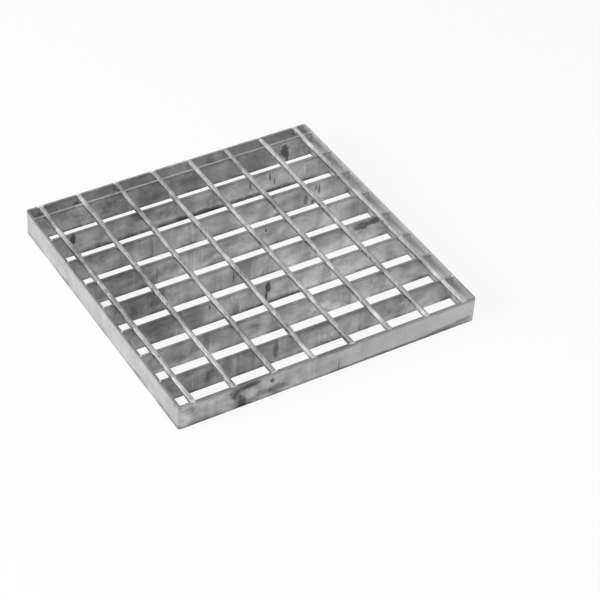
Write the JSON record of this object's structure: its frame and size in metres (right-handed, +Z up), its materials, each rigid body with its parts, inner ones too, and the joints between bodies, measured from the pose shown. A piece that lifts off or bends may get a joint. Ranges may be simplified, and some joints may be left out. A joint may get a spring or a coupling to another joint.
{
  "type": "steel grating panel",
  "caption": "Press-welded steel grating panel: flat bars on edge crossed by twisted square rods, bound by a bent flat strip. Covers a drain or floor opening.",
  "frame": {"origin": "centre of the panel's underside", "axes": "+Z up through the panel; +X along the flat bars; +Y along the twisted rods, towards the narrow gap"},
  "size_m": [0.293, 0.29, 0.0259],
  "materials": {
    "galvanised_bars": "hot-dip galvanised, matt, mottled grey",
    "galvanised_strip": "hot-dip galvanised, smoother, light grey",
    "galvanised_welds": "hot-dip galvanised weld beads"
  },
  "bodies": {
    "root": {"bar_mat": "galvanised_bars", "edge_band": "galvanised_strip", "edge_welds": "galvanised_welds"}
  },
  "joints": []
}
